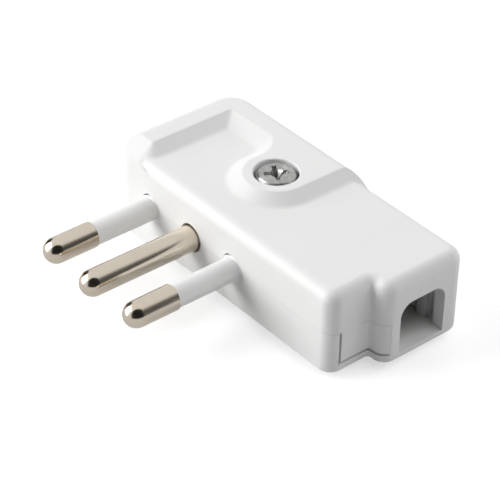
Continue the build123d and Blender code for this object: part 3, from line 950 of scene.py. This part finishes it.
def turn_screws(make, places):
    """Make a screw for the first of some nodes, and copies of it for the others."""
    first = make(places[0] + "_turned", places[0])
    for node in places[1:]:
        other = first.copy()
        other.data = first.data.copy()
        other.name = node + "_turned"
        bpy.context.scene.collection.objects.link(other)
        other.location = place_of(node)[0] - place_of(places[0])[0]
        keep_place(other)
        stand_for(other, node, ZINC)
    stand_for(first, places[0], ZINC)
    print(len(places), "of", first.name, "with", len(first.data.polygons), "faces each")


turn_screws(slotted_screw, TERMINAL_PLACES)

# %% [markdown]
# ## The clamp screws
# Two screws hold the bar that presses on the cable. They cut their own way into plastic, so
# their thread is coarse and deep, and their cross is a smaller copy of the closing screw's.

# %% Make the clamp screws
CLAMP_HEAD = 1.4 * MM
CLAMP_THREAD = (1.1 * MM, 0.3 * MM, 0.8 * MM)
CLAMP_CROSS = 0.6
CLAMP_PLACES = ("inner_clamp_screw", "outer_clamp_screw")


def clamp_screw(name, node):
    """A screw with a small cross and a coarse thread, in a node's place."""
    axis, low, top, radius = place_of(node)
    screw = round_head(name, axis, radius, top - CLAMP_HEAD, top, SMALL_RIM)
    punch_cross(screw, axis, top, CLAMP_CROSS)
    join(screw, threaded_rod("shank", axis, low, top - CLAMP_HEAD + SINK, *CLAMP_THREAD))
    return screw


turn_screws(clamp_screw, CLAMP_PLACES)

# %% [markdown]
# ## Moulded edges
# Molten plastic rounds the corners of its mould. The solids keep the feet of the grip ridge and
# the seam sharp, so a copy of each shell gets these rounds here. The copy's loose triangles are
# merged into whole faces first, so that edges can be chosen by their turn and place.
# A bevel of those edges changes nothing else of a shell, unlike modelling it again.

# %% Copy the shells
MERGE_WITHIN = 0.001 * MM
FLAT_WITHIN = radians(0.3)


def merged_copy(node, name):
    """A copy of one of the plug's solids, with its loose triangles merged into whole faces."""
    piece = bpy.data.objects.new(name, nodes[node].data.copy())
    bpy.context.scene.collection.objects.link(piece)
    edit(piece, "VERT")
    bpy.ops.mesh.select_all(action="SELECT")
    bpy.ops.mesh.customdata_custom_splitnormals_clear()
    bpy.ops.mesh.remove_doubles(threshold=MERGE_WITHIN)
    bpy.ops.mesh.dissolve_limited(angle_limit=FLAT_WITHIN)
    leave_edit()
    return piece


cover_shell = merged_copy("cover", "cover_shell")
base_shell = merged_copy("base", "base_shell")
print("copies:", len(cover_shell.data.polygons), "and", len(base_shell.data.polygons), "faces")

# %% [markdown]
# The ridge's feet are hollow corners, where a bevel works as a fillet. They lie on the cover's top,
# away from the screw's bore. A bevel can push a corner point a little too far, so the top is
# pressed flat again.

# %% Round the ridge's feet
FOOT_ROUND = 0.42 * MM
FOOT_STEPS = 4
FOOT_TURN = -radians(18)
COVER_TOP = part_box("cover")[1][2]
FEET_ABOVE = COVER_TOP - 1.45 * MM
BORE_CLEAR = 4.5 * MM


def round_edges(piece, chosen, width, steps):
    """Bevel the edges of a piece that pass a test, and tell how many did."""
    shape = edit(piece, "EDGE")
    solid = BVHTree.FromBMesh(shape)
    for edge in shape.edges:
        edge.select_set(chosen(edge, solid))
    shape.select_flush_mode()
    count = sum(edge.select for edge in shape.edges)
    bpy.ops.mesh.bevel(
        offset=width, segments=steps, profile=0.5, affect="EDGES", clamp_overlap=False
    )
    bpy.ops.mesh.select_all(action="SELECT")
    bpy.ops.mesh.remove_doubles(threshold=MERGE_WITHIN)
    leave_edit()
    return count


def edge_turn(edge):
    """The signed angle between an edge's two faces, or 0 where it hasn't two."""
    return edge.calc_face_angle_signed(0.0)


def ridge_foot(edge, solid):
    """Whether an edge is a hollow corner on the cover's top."""
    return edge_turn(edge) < FOOT_TURN and all(
        corner.co.z > FEET_ABOVE and (corner.co - SCREW_AXIS).to_2d().length > BORE_CLEAR
        for corner in edge.verts
    )


def press_flat(piece, top):
    """Bring back the points that a bevel pushed out of a piece's top."""
    for corner in piece.data.vertices:
        corner.co.z = min(corner.co.z, top)


print("ridge feet:", round_edges(cover_shell, ridge_foot, FOOT_ROUND, FOOT_STEPS), "edges")
press_flat(cover_shell, COVER_TOP)

# %% [markdown]
# Along most of the housing the shells close without a visible line, but at the shoulder's corner
# the seam opens a little, so there both rims are broken. Only an outer rim counts: a ray from the
# wall beside it meets nothing more. Then the shells stand for their solids, and normals that
# are weighted by area keep the large faces flat next to the new rounds.

# %% Break the seam
SEAM_ROUND = {"cover": 0.10 * MM, "base": 0.04 * MM}
SEAM_STEPS = 2
RIM_TURN = radians(60)
SEAM_LEVEL = 0.31 * MM
SEAM_NEAR = 0.03 * MM
CORNER_FROM_X = 27 * MM
CORNER_TO_Y = 4 * MM


def at_shoulder(point):
    """Whether a point lies on the seam, at the shoulder's corner."""
    on_seam = abs(point.z - SEAM_LEVEL) < SEAM_NEAR
    return on_seam and point.x > CORNER_FROM_X and point.y < CORNER_TO_Y


def seam_rim(edge, solid):
    """Whether an edge is a shell's outer rim at the shoulder's corner."""
    if edge_turn(edge) < RIM_TURN:
        return False
    if not all(at_shoulder(corner.co) for corner in edge.verts):
        return False
    wall = min(edge.link_faces, key=lambda face: abs(face.normal.z))
    start = wall.calc_center_median() + wall.normal * SEAM_NEAR
    return solid.ray_cast(start, wall.normal)[0] is None


for shell, node in ((cover_shell, "cover"), (base_shell, "base")):
    print(node, "seam:", round_edges(shell, seam_rim, SEAM_ROUND[node], SEAM_STEPS), "edges")
    stand_for(shell, node, HOUSING_WHITE)
    apply_modifier(shell, "WEIGHTED_NORMAL", mode="FACE_AREA", keep_sharp=True)
    print(shell.name, len(shell.data.polygons), "faces")
